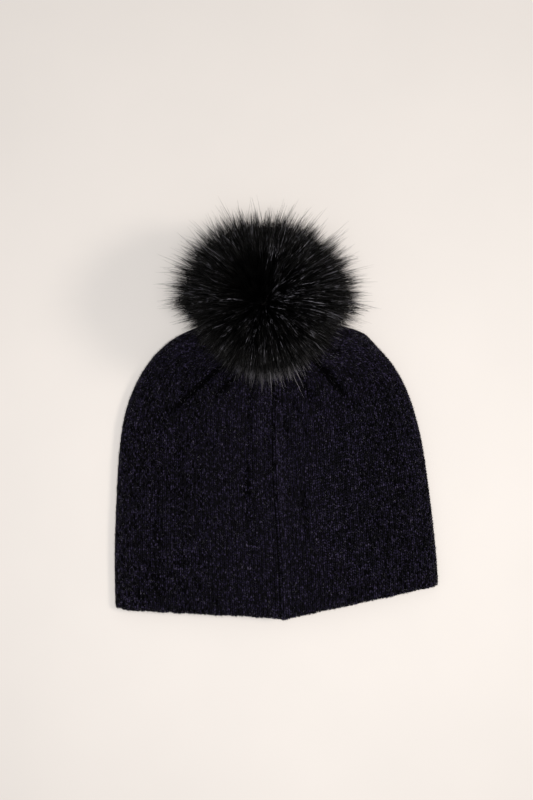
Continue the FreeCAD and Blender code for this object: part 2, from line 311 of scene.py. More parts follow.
def surface(made, name):
    """An input of a material's shader."""
    return made.node_tree.nodes["Principled BSDF"].inputs[name]


def new_material(name, roughness, specular, metallic=0.0):
    made = bpy.data.materials.new(name)
    made.use_nodes = True
    surface(made, "Roughness").default_value = roughness
    surface(made, "Specular IOR Level").default_value = specular
    surface(made, "Metallic").default_value = metallic
    return made


def add_node(made, kind, inputs=(), **settings):
    """The outputs of a new node. Each input is given a value, or a socket to link it to."""
    node = made.node_tree.nodes.new("ShaderNode" + kind)
    for name, value in settings.items():
        setattr(node, name, value)
    for name, value in dict(inputs).items():
        if isinstance(value, bpy.types.NodeSocket):
            made.node_tree.links.new(value, node.inputs[name])
        else:
            node.inputs[name].default_value = value
    return node.outputs


def blend_colours(made, level, span, colours):
    """A base colour that goes from one colour to the other over a span of the level."""
    node = made.node_tree.nodes.new("ShaderNodeValToRGB")
    for stop, position, colour in zip(node.color_ramp.elements, span, colours):
        stop.position = position
        stop.color = (*colour, 1)
    made.node_tree.links.new(level, node.inputs["Fac"])
    made.node_tree.links.new(node.outputs["Color"], surface(made, "Base Color"))


def add_relief(made, height, strength, distance):
    bump = add_node(made, "Bump", {"Height": height, "Strength": strength, "Distance": distance})
    made.node_tree.links.new(bump["Normal"], surface(made, "Normal"))


def scale_colour(made, factor):
    base = surface(made, "Base Color")
    scaled = {0: base.links[0].from_socket, "Scale": factor}
    shade = add_node(made, "VectorMath", scaled, operation="SCALE")
    made.node_tree.links.new(shade["Vector"], base)


def noise_at(made, place, scale, detail):
    return add_node(made, "TexNoise", {"Vector": place, "Scale": scale, "Detail": detail})["Fac"]


def rescale(made, value, low, high, least=0.0, most=1.0, **settings):
    """The value as a share of the span from low to high, brought to least and most."""
    span = {"Value": value, "From Min": low, "From Max": high, "To Min": least, "To Max": most}
    return add_node(made, "MapRange", span, **settings)["Result"]


def distance_from(made, point):
    place = add_node(made, "TexCoord")["Object"]
    return add_node(made, "VectorMath", {0: place, 1: point}, operation="DISTANCE")["Value"]


def mottled(name, dark, light, scale, roughness, specular, relief=0.0, relief_scale=None,
            metallic=0.0, stretch=(1, 1, 1), span=(0.35, 0.68)):
    """Two colours mixed by fine noise, with a second noise as relief of a given strength."""
    made = new_material(name, roughness, specular, metallic)
    place = add_node(made, "TexCoord")["Object"]
    place = add_node(made, "Mapping", {"Vector": place, "Scale": stretch})["Vector"]
    blend_colours(made, noise_at(made, place, scale, 3), span, (dark, light))
    if relief:
        add_relief(made, noise_at(made, place, relief_scale, 4), relief, 0.0004)
    return made


def yarn_material(name, dark, light, specular=0.10):
    """Twisted yarn: plies run at a slant, and painted shade darkens each leg toward its ends, where it
    dives under others.
    """
    made = mottled(name, dark, light, 980, 0.8, specular, span=(0.43, 0.62))
    strand = add_node(made, "UVMap", uv_map="yarn")["UV"]
    slant = add_node(made, "Mapping", {"Vector": strand, "Rotation": (0, 0, 0.6)})["Vector"]
    wave = {"Vector": slant, "Scale": 1.6, "Distortion": 2.5, "Detail": 2}
    add_relief(made, add_node(made, "TexWave", wave)["Fac"], 0.7, 0.0002)
    # painted shade: the base colour is scaled down toward both ends of each leg, where it passes under
    # the next stitches
    along = add_node(made, "SeparateXYZ", {"Vector": strand})["Y"]
    middle = add_node(made, "Math", {0: along, 1: 0.5}, operation="PINGPONG")["Value"]
    scale_colour(made, rescale(made, middle, 0.10, 0.42, 0.12))
    return made


def fur_material(name, root, tip, roughness, specular, short_highlights=False):
    """Hair that goes from its root colour to its tip colour with distance from the ball.

    With short_highlights, the tip colour shows in short lengths only, as streaks of painted highlight.
    """
    made = new_material(name, roughness, specular)
    away = distance_from(made, tuple(from_local([0, 0, SKIN_LEVEL]) * MM))
    level = rescale(made, away, SKIN_RADIUS * MM, FUR_EDGE * MM)
    if short_highlights:
        # painted highlight streaks: noise cuts the tip colour into short lengths
        place = add_node(made, "TexCoord")["Object"]
        lengths = rescale(made, noise_at(made, place, 230, 1), 0.44, 0.58)
        level = add_node(made, "Math", {0: level, 1: lengths}, operation="MULTIPLY")["Value"]
    blend_colours(made, level, (0.25, 0.95), (root, tip))
    return made


KNIT_TONES = [
    yarn_material("knit_navy", (0.0005, 0.0004, 0.0012), (0.019, 0.015, 0.04)),
    yarn_material("knit_black", (0.0003, 0.0003, 0.0006), (0.006, 0.005, 0.0125)),
    yarn_material("knit_light", (0.001, 0.0009, 0.0024), (0.044, 0.036, 0.08)),
    yarn_material("knit_heather", (0.002, 0.0018, 0.004), (0.08, 0.069, 0.118)),
    # painted shade: the darkest tone, given to stitches in fold grooves and the seam's channel
    yarn_material("knit_painted_shade", (0.0003, 0.0003, 0.0005), (0.0032, 0.0027, 0.0055), 0.04),
]
TONE_SHARES = (0.44, 0.31, 0.22, 0.03)
# painted shade: the near-black cloth under the stitches stands for the shade in the gaps between them
knit_gap_shade = mottled(
    "knit_gap_shade", (0.0008, 0.0007, 0.0013), (0.0026, 0.0023, 0.0045), 700, 0.95, 0.05, 0.6, 1500
)
fuzz_dark = mottled("fuzz_dark", (0.006, 0.006, 0.01), (0.03, 0.028, 0.04), 300, 0.8, 0.2)
# painted sheen: light grey loose fibres stand for light caught by the fuzz
fuzz_sheen = mottled("fuzz_sheen", (0.07, 0.068, 0.09), (0.24, 0.23, 0.27), 300, 0.7, 0.3)
fleece = mottled("fleece", (0.006, 0.006, 0.009), (0.022, 0.021, 0.028), 420, 0.95, 0.1, 1.0, 900)
thread = mottled("thread", (0.004, 0.004, 0.007), (0.016, 0.015, 0.022), 1500, 0.6, 0.3, 0.5, 3000)
label_tape = mottled(
    "label_tape", (0.03, 0.029, 0.03), (0.06, 0.058, 0.06), 1400, 0.45, 0.4, 0.5, 2400, stretch=(1, 4, 1)
)
felt = mottled("felt", (0.01, 0.01, 0.012), (0.03, 0.029, 0.033), 900, 0.95, 0.1, 0.9, 1600)
snap_metal = mottled(
    "snap_metal", (0.02, 0.02, 0.022), (0.05, 0.049, 0.05), 260, 0.32, 0.6, 0.08, 1200, metallic=0.9
)
spring_steel = mottled(
    "spring_steel", (0.42, 0.42, 0.43), (0.56, 0.56, 0.57), 500, 0.28, 0.6, 0.06, 2500, metallic=1.0
)
stiff_disc = mottled(
    "stiff_disc", (0.008, 0.008, 0.008), (0.018, 0.018, 0.018), 300, 0.5, 0.4, 0.25, 1500
)
fur_backing = mottled(
    "fur_backing", (0.003, 0.003, 0.003), (0.01, 0.009, 0.009), 800, 0.95, 0.05, 0.8, 1300
)
wadding = mottled("wadding", (0.55, 0.55, 0.54), (0.75, 0.75, 0.73), 120, 0.95, 0.1, 1.0, 500)
FUR_TONES = [
    fur_material("fur_black", (0.0004, 0.0004, 0.0004), (0.0009, 0.0009, 0.0009), 0.42, 0.06),
    fur_material("fur_soft", (0.0005, 0.0005, 0.0005), (0.003, 0.0029, 0.0033), 0.38, 0.16),
    # painted sheen: the grey and pale hairs' light tips stand for highlights on the fur, shown in short
    # streaks
    fur_material("fur_sheen_grey", (0.001, 0.001, 0.0012), (0.072, 0.07, 0.086), 0.34, 0.40, True),
    fur_material("fur_sheen_pale", (0.002, 0.002, 0.0024), (0.33, 0.325, 0.39), 0.32, 0.60, True),
    # painted light: the pale tone of the lit fringe that lies over the crown
    fur_material("fur_lit_fringe", (0.004, 0.004, 0.0045), (0.42, 0.4, 0.44), 0.40, 0.40),
]


# The hat's surface


def section(share, inset):
    """Half-width, rise and middle of the hat at a share of its length, made smaller."""
    share = np.clip(share, 0, 1)
    waist = 1 - 0.018 * bell((share - 0.45) / 0.22)
    width = (HALF_WIDTH - inset) * waist * (1 - share**3.3) ** (1 / 3.2)
    rise = (10 + 12 * share - inset) * (1 - share**10) ** (1 / 2.5)
    middle = -1 - 5.5 * np.minimum(1, share / 0.68)
    return width, rise, middle


def on_surface(share, angle, inset):
    """Points on the hat: angle 180 degrees is its left edge, 90 the top and 0 the right."""
    width, rise, middle = section(share, inset)
    right = np.cos(angle) > 0
    middle = middle + SHOULDER * bell((share - 0.962) / 0.03) * np.cos(angle) ** 2 * right
    height = rise * np.sin(angle)
    depth = EDGE_LEVEL - FLOOR_GAP - max(0.0, inset - YARN_INSET)
    under = depth * np.tanh(height / depth)
    x = middle + width * np.cos(angle)
    z = EDGE_LEVEL + np.where(height > 0, height, under)
    return np.stack([x, LENGTH * share + HEM_Y, z], -1)


def hem_y(x):
    """The hem's line seen from above: two straight runs that meet at the seam."""
    from_low = x - HEM_LOW_X
    run = np.where(from_low > 0, from_low * HEM_RIGHT_SLOPE, -from_low * HEM_LEFT_SLOPE)
    lip = -0.7 * bell((x - 2.6) / 2.4)
    notch = 0.7 * bell((x + 75.5) / 1.6)
    wave = 0.14 * np.sin(x * 0.21 + 1.3) + 0.12 * np.sin(x * 0.47)
    jags = 0.22 * np.sin(x * 1.75 + 0.6 * np.sin(x * 0.37)) + 0.16 * np.sin(x * 2.6 + 1.1)
    corner = 1.2 * smooth((-104 - x) / 7) ** 2
    wave = wave * smooth(np.abs(from_low) / 20)
    return HEM_Y + 0.5 * smooth(-from_low / 30) + run + lip + notch + wave + jags + corner


def top_angles(inset, shares, spread):
    """Angles that part the upper side of each section into even lengths."""
    turn = np.linspace(np.pi, 0, 721)
    table = np.empty((len(shares), len(spread)))
    for i, share in enumerate(shares):
        width, rise, _ = section(share, inset)
        steps = np.hypot(np.diff(np.cos(turn)) * width, np.diff(np.sin(turn)) * rise)
        reach = np.concatenate([[0], np.cumsum(steps)])
        table[i] = np.interp(spread, reach / reach[-1] * 2 - 1, turn)
    return table


def meridian(inset):
    """Shares, and how far the middle of the hat runs from its tip back to each of them."""
    share = 1 - np.linspace(1, 0, 3000) ** 3
    _, rise, _ = section(share, inset)
    steps = np.hypot(np.diff(share) * LENGTH, np.diff(rise))
    back = np.concatenate([[0], np.cumsum(steps[::-1])])[::-1]
    return share, back


def column_turn(columns):
    """Each column's place round the hat: -1 left edge, 1 right edge, 3 left edge again."""
    return -1 + 4 * np.arange(columns + 1) / columns


def wale_lines(inset, start, mouth, columns, rows, crown_rows):
    """Lines from the hem to the crown's mouth, as an array of (row, column, xyz).

    Column 0 is the left edge; columns run over the top to the right edge and back beneath.
    Up to CROWN_START a line keeps its place across the hat. Past it, it turns to the
    mouth, where all of them arrive evenly round the pom pom's axis.
    """
    around = column_turn(columns)
    upper = around <= 1
    spread = np.where(upper, around, 2 - around)
    sign = np.where(upper, 1.0, -1.0)
    shares = np.linspace(0, CROWN_START, 60)
    table = top_angles(inset, shares, np.linspace(-1, 1, 2 * ANGLE_STEPS + 1))
    along, back = meridian(inset)

    def angle_at(share):
        row = share / CROWN_START * (len(shares) - 1)
        column = np.broadcast_to((spread + 1) * ANGLE_STEPS, row.shape)
        return lookup(table, row, column) * sign

    def half_sizes(share):
        width, _, _ = section(share, inset)
        return width, np.maximum(np.interp(share, along, back), 1e-6)

    def flat(share):
        angle = angle_at(share)
        width, length = half_sizes(share)
        return np.stack([width * np.cos(angle), length * np.sin(angle)], -1)

    first = np.full(columns + 1, 0.02)
    for _ in range(6):
        x = on_surface(first, angle_at(first), inset)[:, 0]
        first = np.clip((hem_y(x) + start - HEM_Y) / LENGTH, 0, 0.3)
    share = first + (CROWN_START - first) * np.linspace(0, 1, rows)[:, None]
    body = on_surface(share, angle_at(share), inset)

    centre = np.array([CROWN[0] + 6.5, np.interp((CROWN[1] - HEM_Y) / LENGTH, along, back)])
    end = np.full(columns + 1, CROWN_START)
    p0 = flat(end)
    d0 = unit(p0 - flat(end - 0.02))
    arrive = (1 - around) * np.pi / 2
    out = np.stack([np.cos(arrive), np.sin(arrive)], -1)
    p1 = centre + out * mouth
    reach = np.linalg.norm(p1 - p0, axis=-1, keepdims=True)
    t = np.linspace(0, 1, crown_rows)[1:, None, None]
    path = (
        p0 * (2 * t**3 - 3 * t**2 + 1)
        + d0 * reach * (t**3 - 2 * t**2 + t)
        + p1 * (3 * t**2 - 2 * t**3)
        - out * reach * (t**3 - t**2)
    )
    low = np.zeros(path.shape[:2])
    high = np.full(path.shape[:2], 0.999999)
    for _ in range(40):
        mid = (low + high) / 2
        width, length = half_sizes(mid)
        outside = (path[..., 0] / width) ** 2 + (path[..., 1] / length) ** 2 > 1
        high = np.where(outside, mid, high)
        low = np.where(outside, low, mid)
    width, length = half_sizes(low)
    angle = np.arctan2(path[..., 1] / length, path[..., 0] / width)
    return np.concatenate([body, on_surface(low, angle, inset)])


# folds that run out from the crown: bearing and distance from it at each end, then depth
# and width. Bearing 0 points to the hem, and a positive one to the right.
FOLDS = (
    (-63.5, 30, -53.0, 94, 5.2, 2.3),
    (-41.8, 32, -43.4, 60, 4.0, 2.0),
    (-23.6, 33, -11.3, 70, 1.8, 2.4),
    (5.6, 28, 7.4, 52, 1.6, 2.0),
    (11.3, 42, 11.3, 78, 1.3, 2.6),
    (20.6, 46, 20.6, 88, 1.4, 3.0),
    (68.0, 32, 51.4, 72, 6.0, 2.8),
    (40.0, 34, 33.0, 58, 1.8, 2.4),
    (-84.0, 34, -78.0, 60, 1.3, 3.6),
    (88.0, 34, 76.0, 62, 1.5, 3.6),
)
# shallow dents: x, y, half-width, half-length, depth
DENTS = (
    (-22, -16, 2.4, 24, 1.7),
    (17, -20, 2.4, 20, 1.2),
    (-70, -40, 22, 14, 0.5),
    (64, 10, 20, 16, 0.5),
    (48, -62, 26, 10, 0.4),
)


def from_crown(bearing, distance):
    turn = math.radians(bearing)
    return CROWN[:2] + distance * np.array([math.sin(turn), -math.cos(turn)])


def fold_height(x, y):
    """How far folds, dents and slack in the cloth lift its upper side."""
    lift = 0.30 * np.sin(x * 0.071 + 0.7) * np.sin(y * 0.064 + 0.4)
    lift = lift + 0.20 * np.sin(x * 0.117 + y * 0.083) * np.sin(y * 0.101 - x * 0.041 + 2.0)
    for bearing0, r0, bearing1, r1, depth, width in FOLDS:
        a = from_crown(bearing0, r0)
        run = from_crown(bearing1, r1) - a
        reach = np.hypot(*run)
        along = ((x - a[0]) * run[0] + (y - a[1]) * run[1]) / reach**2
        side = ((x - a[0]) * run[1] - (y - a[1]) * run[0]) / reach
        fade = smooth(along / 0.2 + 0.5) * smooth((1.12 - along) / 0.75)
        broad = width * (0.75 + 0.6 * np.clip(along, 0, 1))
        groove = -depth * bell(side / broad)
        ridge = 0.45 * depth * bell((np.abs(side) - 2.1 * broad) / broad)
        lift = lift + (groove + ridge) * fade
    for cx, cy, half_x, half_y, depth in DENTS:
        lift = lift - depth * np.exp(-(((x - cx) / half_x) ** 2) - ((y - cy) / half_y) ** 2)
    return lift


def add_folds(points, reach=0.0):
    """Lift the points of the upper side; the edges and the underside keep their place.

    With a reach, a point takes the lowest lift within that distance to either side.
    """
    x, y, z = np.moveaxis(points, -1, 0)
    share = (y - HEM_Y) / LENGTH
    _, rise, _ = section(share, 0)
    upper = smooth((z - EDGE_LEVEL) / np.maximum(rise, 1) / 0.55)
    lift = np.min([fold_height(x + step, y) for step in (-reach, 0, reach)], 0)
    lifted = points.copy()
    lifted[..., 2] += lift * upper
    return lifted


def crown_pleats(points):
    """Pleats that run in to the gathered crown, and the lip that turns down inside it."""
    r, bearing, level = polar(points)
    near = (level > -13) & (r < 60)
    ripple = np.cos(18 * bearing + 0.8 * np.sin(3 * bearing)) + 0.4 * np.cos(7 * bearing + 1)
    height = 1.15 * ripple * smooth((46 - r) / 28) * smooth((r - 7) / 8)
    drop = -3.4 * smooth((14.5 - r) / 4.0)
    shift = np.where(near, height + drop, 0)
    return points + AXIS * shift[..., None]


def ring_steps(grid):
    """Steps across a grid whose last column repeats its first."""
    ring = grid[..., :-1, :]
    over = np.roll(ring, -1, -2) - np.roll(ring, 1, -2)
    return np.concatenate([over, over[..., :1, :]], -2)


def surface_normals(grid):
    return unit(np.cross(ring_steps(grid), np.gradient(grid, axis=0)))


def wander(lines):
    """The upper side's lines near the back seam curve a little to the left halfway up."""
    x, y, z = np.moveaxis(lines, -1, 0)
    shift = 1.4 * bell((y + 2) / 34) * bell(x / 50)
    moved = lines.copy()
    moved[..., 0] = x - shift * smooth((z - 7) / 3)
    return moved


def knit_grid():
    """The knit's own surface at even steps along each line, from inside the hem upward.

    Returns the grid, its normals and the last row of each column.
    """
    lines = wale_lines(YARN_INSET, HEM_ROLL, MOUTH, COLUMNS, 150, 110)
    lines = wander(crown_pleats(add_folds(lines)))
    keep_above(lines, FLOOR_GAP)
    steps = np.linalg.norm(np.diff(lines, axis=0), axis=-1)
    reach = np.concatenate([np.zeros((1, COLUMNS + 1)), np.cumsum(steps, 0)])
    rows = int(reach[-1].max() / ROW_STEP) + 1
    level = np.arange(rows) * ROW_STEP
    around = column_turn(COLUMNS)
    slant = np.where(around <= 0, np.clip(-around, 0, 1), smooth((around - 1) / 2))
    slant = COURSE_SLANT * HALF_WIDTH * slant
    grid = np.empty((rows, COLUMNS + 1, 3))
    last = np.empty(COLUMNS + 1)
    for column in range(COLUMNS + 1):
        wanted = level + slant[column] * smooth(level / 60)
        last[column] = np.searchsorted(wanted, reach[-1, column]) - 1
        for axis in range(3):
            grid[:, column, axis] = np.interp(wanted, reach[:, column], lines[:, column, axis])
    edge = grid[0]
    inward = unit(grid[2] - edge)
    out = unit(np.cross(ring_steps(edge), inward))
    rolled = []
    for step in range(ROLL_STEPS, 0, -1):
        run = step * ROW_STEP
        angle = min(run / HEM_ROLL, math.pi)
        beyond = max(0.0, run - math.pi * HEM_ROLL)
        down = out * HEM_ROLL * (1 - math.cos(angle))
        rolled.append(edge - down + inward * (beyond - HEM_ROLL * math.sin(angle)))
    grid = np.concatenate([np.array(rolled), grid])
    return grid, surface_normals(grid), last + ROLL_STEPS


KNIT, KNIT_OUT, KNIT_LAST = knit_grid()


def apply_seam():
    """The back seam: a narrow channel with a raised lip on its right."""
    across = (np.arange(COLUMNS + 1) / WALE_COLUMNS - SEAM_LINE) * WALE_WIDTH
    relief = 0.9 * bell((across - 2.8) / 1.9) - 2.0 * bell(across / 0.75)
    rows = np.arange(len(KNIT))[:, None]
    fade = smooth((rows - ROLL_STEPS + 3) / 6) * smooth((KNIT_LAST.min() - 16 - rows) / 16)
    return KNIT + KNIT_OUT * (relief * fade)[..., None]


KNIT = apply_seam()
KNIT_OUT = surface_normals(KNIT)


def knit_point(wale, row, lift):
    """Points over the knit: wale and row may be fractions, and lift is outward."""
    column = np.mod(wale, WALES) * WALE_COLUMNS
    at = row * 2 + ROLL_STEPS
    out = unit(lookup(KNIT_OUT, at, column))
    return lookup(KNIT, at, column) + out * np.asarray(lift)[..., None]


def octagon(points):
    """Distance from the pom pom's axis toward the nearest of the sectors' middle bearings."""
    r, bearing, _ = polar(points)
    part = np.mod(np.round(bearing / (2 * np.pi / CROWN_PIECES)), CROWN_PIECES).astype(int)
    return r * np.cos(bearing - part * 2 * np.pi / CROWN_PIECES), part


def mouth_rows():
    """The row past which each column lies in the part of the crown that bends."""
    reach, _ = octagon(KNIT)
    rows = np.arange(len(KNIT))[:, None]
    outside = (reach > BEND_START) | (rows > KNIT_LAST)
    inside = rows <= KNIT_LAST
    return np.where(outside & inside, rows, 0).max(0)


MOUTH_ROW = mouth_rows()


# Knit


def choose_tones(wale, row):
    """A tone for each stitch: mostly navy, with streaks of lighter and darker yarn."""
    streak = 0.5 + 0.5 * np.sin(row * 2.4 + 1.7 * np.sin(wale * 0.21))
    draw = np.clip(rng.random(len(wale)) * 0.86 + 0.14 * streak, 0, 0.9999)
    return np.searchsorted(np.cumsum(TONE_SHARES), draw)


def paint_knit_light_and_shade(tone, wale, points):
    """Painted shade and highlights: stitches in the folds' grooves and the seam's channel take the
    darkest tone, and stitches beside the seam take light yarn.
    """
    # painted shade in the folds' grooves: the deeper a stitch lies, the likelier it takes the darkest
    # tone
    sunk = np.where(points[:, 2] > 9, -fold_height(points[:, 0], points[:, 1]), 0)
    dark = np.clip((sunk - 0.35) / 2.4, 0, 1)
    # a little more of the darkest tone toward the left and right sides
    dark = np.maximum(dark, 0.14 * smooth((np.abs(points[:, 0]) - 30) / 40))
    beside = wale - SEAM_LINE
    # painted shade in the seam's channel
    dark = np.maximum(dark, 0.97 * np.exp(-((beside / 0.36) ** 4)))
    # painted highlight on the seam's raised right lip, and a lighter band left of the seam on its upper
    # half
    light = 0.55 * bell((beside - 1.35) / 1.1)
    light = light + 0.30 * bell((beside + 2.0) / 1.3) * smooth(points[:, 1] / 30)
    lightened = (tone < 2) & (rng.random(len(tone)) < light)
    tone = np.where(lightened, 2, tone)
    return np.where(rng.random(len(tone)) < dark, len(TONE_SHARES), tone)


def list_stitches():
    """Wale, row and width of every stitch. Wales join up where the crown draws them in."""
    rows = np.arange(-HEM_ROWS, int(len(KNIT) / 2))
    wale, row = np.array(np.meshgrid(np.arange(WALES), rows, indexing="ij")).reshape(2, -1)
    last = np.minimum(KNIT_LAST[wale * WALE_COLUMNS], KNIT_LAST[(wale + 1) * WALE_COLUMNS])
    kept = (row + 1.2) * 2 + ROLL_STEPS <= last
    wale = wale[kept]
    row = row[kept]
    left = knit_point(wale + 0.001, row + 0.5, 0)
    right = knit_point(wale + 0.999, row + 0.5, 0)
    gap = np.linalg.norm(right - left, axis=-1) * (1 + 0.12 * rng.standard_normal(len(wale)))
    step = np.where(gap > 1.35, 1, np.where(gap > 0.72, 2, 4))
    kept = np.mod(wale, step) == 0
    return np.array([wale[kept], row[kept], step[kept]], float)


def stitch_paths(wale, row, step, side, points):
    """One leg of each stitch: it rises from behind the row below and leans outward."""
    t = np.linspace(0, 1, points)[None, :]
    out = 0.09 + 0.34 * t**0.9
    up = -0.26 + 1.5 * t
    lift = -0.42 + 0.85 * np.sin(np.pi * (0.06 + 0.88 * t)) ** 0.8
    legs = (len(wale), 1)
    loose = rng.normal(0, 0.022, legs)
    tilt = rng.normal(0, 0.05, legs)
    across = 0.5 + side * out + loose
    along = row[:, None] + (up + tilt * (t - 0.5) + rng.normal(0, 0.05, legs))
    high = lift + rng.normal(0, 0.07, legs)
    place = wale[:, None] + across * step[:, None]
    paths = knit_point(place, along, high)
    beside = knit_point(place + 0.08, along, high) - paths
    keep_above(paths, LEAST_HEIGHT)
    return paths, beside


def stitch_tubes(wale, row, step, points, sides):
    """Arrays for make_mesh of the tubes for a set of stitches, both legs of each."""
    shape = np.sin(np.pi * (0.10 + 0.82 * np.linspace(0, 1, points))) ** 0.6
    left = knit_point(wale, row + 0.5, 0)
    gap = np.linalg.norm(knit_point(wale + step, row + 0.5, 0) - left, axis=-1)
    parts = []
    for side in (-1, 1):
        tone = choose_tones(wale, row)
        paths, beside = stitch_paths(wale, row, step, side, points)
        tone = paint_knit_light_and_shade(tone, wale + 0.5 + side * 0.26 * step, paths[:, 1])
        fat = np.clip(gap * 0.205, 0.26, 0.70) * (1 + 0.10 * rng.standard_normal(len(wale)))
        widths = fat[:, None] * shape[None, :]
        heights = np.clip(widths * 0.80, 0.2, 0.52)
        arrays = tube_arrays(paths, beside, widths, heights, sides)
        keep_above(arrays[0], 0.02)
        parts.append((*arrays, tone))
    return join_tubes(parts, sides, points)


def make_knit():
    """The shell's stitches in pieces, and the crown's in sectors at its mouth."""
    stitches = list_stitches()
    wale, row, step = stitches
    column = (wale * WALE_COLUMNS).astype(int)
    in_mouth = row * 2 + ROLL_STEPS > MOUTH_ROW[column] - 3
    on_top = wale < WALES / 2
    for face, upper, points, sides, parts in (
        ("knit_face_up", True, 5, 5, 5),
        ("knit_face_down", False, 4, 4, 3),
    ):
        chosen = np.flatnonzero((on_top == upper) & ~in_mouth)
        order = chosen[np.lexsort((wale[chosen], row[chosen]))]
        for number, some in enumerate(np.array_split(order, parts)):
            arrays = stitch_tubes(*stitches[:, some], points, sides)
            piece = make_mesh(f"{face}_{number}", KNIT_TONES, *arrays)
            settle(piece, "hat", "knit", "knit_shell")
    _, part = octagon(knit_point(wale + step / 2, row + 0.5, 0))
    for number in range(CROWN_PIECES):
        some = np.flatnonzero(in_mouth & (part == number))
        vertices, faces, tones, uv = stitch_tubes(*stitches[:, some], 4, 4)
        ground, ground_faces = ground_part(number)
        piece = make_mesh(
            f"knit_crown_{number}",
            KNIT_TONES + [knit_gap_shade],
            np.concatenate([ground, vertices]),
            [ground_faces] + [group + len(ground) for group in faces],
            np.concatenate([np.full(len(ground_faces), len(KNIT_TONES)), tones]),
            np.concatenate([np.zeros((len(ground), 2)), uv]),
        )
        bearing = number * 2 * math.pi / CROWN_PIECES
        direction = turned(1, bearing, 0)
        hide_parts("knit_shell")
        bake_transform(piece)


def ground_quads():
    """The cloth under the stitches: its points, and its faces outside and inside the mouth."""
    points = (KNIT - KNIT_OUT * 0.30)[::2, :-1:2]
    keep_above(points, LEAST_HEIGHT / 2)
    last = KNIT_LAST[:-1:2]
    border = MOUTH_ROW[:-1:2]
    rows, columns, _ = points.shape
    above = 2 * np.arange(1, rows)[:, None]
    usable = above <= np.minimum(last, np.roll(last, -1))
    inner = above > np.minimum(border, np.roll(border, -1))
    quads = grid_faces(rows, columns).reshape(rows - 1, columns, 4)
    return points, quads[usable & ~inner], quads[usable & inner]


def compact(points, quads):
    """Only the points that the faces use, with the faces renumbered."""
    flat = points.reshape(-1, 3)
    used, numbers = np.unique(quads.ravel(), return_inverse=True)
    return flat[used], numbers.reshape(quads.shape)


def ground_part(number):
    """The cloth of one sector of the crown's mouth."""
    points, _, chosen = ground_quads()
    _, part = octagon(points.reshape(-1, 3)[chosen].mean(1))
    return compact(points, chosen[part == number])


def make_ground():
    points, outer, _ = ground_quads()
    vertices, faces = compact(points, outer)
    piece = make_mesh("knit_cloth", [knit_gap_shade], vertices, [faces])
    settle(piece, "hat", "knit", "knit_shell")


def make_fuzz():
    """Fine loose fibres over the knit, thicker along the hem and the edges."""
    count = LOOSE_FIBRES
    side = WALES // 2
    wale = rng.uniform(0, WALES, count)
    edge = rng.random(count) < 0.28
    at_side = rng.random(count) < 0.5
    near_side = np.where(wale < side, 0, side) + rng.normal(0, 2.0, count)
    wale = np.where(edge & at_side, near_side, wale)
    row = rng.uniform(0, 100, count)
    row = np.where(edge & ~at_side, rng.normal(-1.1, 0.9, count), row)
    column = np.mod(wale, WALES) * WALE_COLUMNS
    top = np.interp(column, np.arange(COLUMNS + 1), MOUTH_ROW)
    row = np.minimum(row, (top - ROLL_STEPS) / 2 - 3)
    turn = rng.uniform(0, 2 * np.pi, count)
    reach = rng.uniform(0.8, 2.3, count)
    rise = rng.uniform(0.3, 1.2, count)

    def fibre_point(over, up, lift):
        return knit_point(wale + over * reach * 0.18, row + up * reach * 0.26, lift)

    start = fibre_point(0, 0, 0.25)
    mid = fibre_point(np.cos(turn), np.sin(turn), 0.25 + rise)
    bend = turn + rng.normal(0, 0.9, count)
    over = np.cos(turn) + np.cos(bend)
    up = np.sin(turn) + np.sin(bend)
    end = fibre_point(over, up, 0.2 + rise * rng.uniform(0.6, 1.5, count))
    paths = np.stack([start, mid, end], 1)
    keep_above(paths, 0.15)
    across = unit(rng.normal(size=(count, 1, 3))) * np.ones((1, 3, 1))
    widths = np.broadcast_to(np.array([0.045, 0.040, 0.015]), (count, 3))
    # painted sheen: 38% of the fibres take the light grey tone
    hairs = (paths, across, widths, (rng.random(count) < 0.38).astype(int))
    for number, some in enumerate(np.array_split(np.arange(count), 2)):
        make_hairs(f"knit_fuzz_{number}", some, hairs, [fuzz_dark, fuzz_sheen], "hat", "knit")


def slanted_thread(name, starts, ends, thick, node):
    """Separate short stitches of thread, each a shallow arch from start to end."""
    t = np.linspace(0, 1, 6)[None, :, None]
    paths = starts[:, None] * (1 - t) + ends[:, None] * t
    across = unit(np.cross(ends - starts, [0, 0, 1.0]))[:, None] * np.ones((1, 6, 1))
    taper = thick * np.sin(np.pi * (0.15 + 0.7 * t[..., 0])) ** 0.5
    widths = np.broadcast_to(taper, paths.shape[:2])
    piece = make_tubes(name, paths, across, widths, 6, [thread], np.zeros(len(paths), int))
    return settle(piece, "hat", "sewing_thread", node)


def make_seam_thread():
    """Ladder stitches down in the back seam."""
    rows = np.arange(1.0, 84.0, 1.0)
    starts = knit_point(0 * rows + (SEAM_LINE - 0.12), rows, 0.25)
    ends = knit_point(0 * rows + (SEAM_LINE + 0.12), rows + 0.7, 0.25)
    slanted_thread("seam_ladder", starts, ends, 0.26, "back_seam_thread")


# Lining, label and the stitches inside


def make_lining():
    """A closed fleece shell with a rounded lower edge, just inside the knit."""
    outer = add_folds(wale_lines(2.35, 3.2, 13.5, 160, 60, 40), 2.6)
    inner = add_folds(wale_lines(3.7, 3.2, 14.0, 160, 60, 40), 2.6)
    rim = (outer[0] + inner[0]) / 2
    rim[:, 1] -= 0.6
    inner = inner[:, :-1]
    out = surface_normals(np.concatenate([inner, inner[:, :1]], 1))[:, :-1]
    inner = inner - out * rng.normal(0, 0.10, inner.shape[:2])[..., None]
    rings = np.concatenate([inner[::-1], rim[None, :-1], outer[:, :-1]])
    faces = grid_faces(*rings.shape[:2], True)
    piece = make_mesh("fleece_layer", [fleece], rings, [faces])
    settle(piece, "hat", "fleece", "fleece_lining")
    return rim


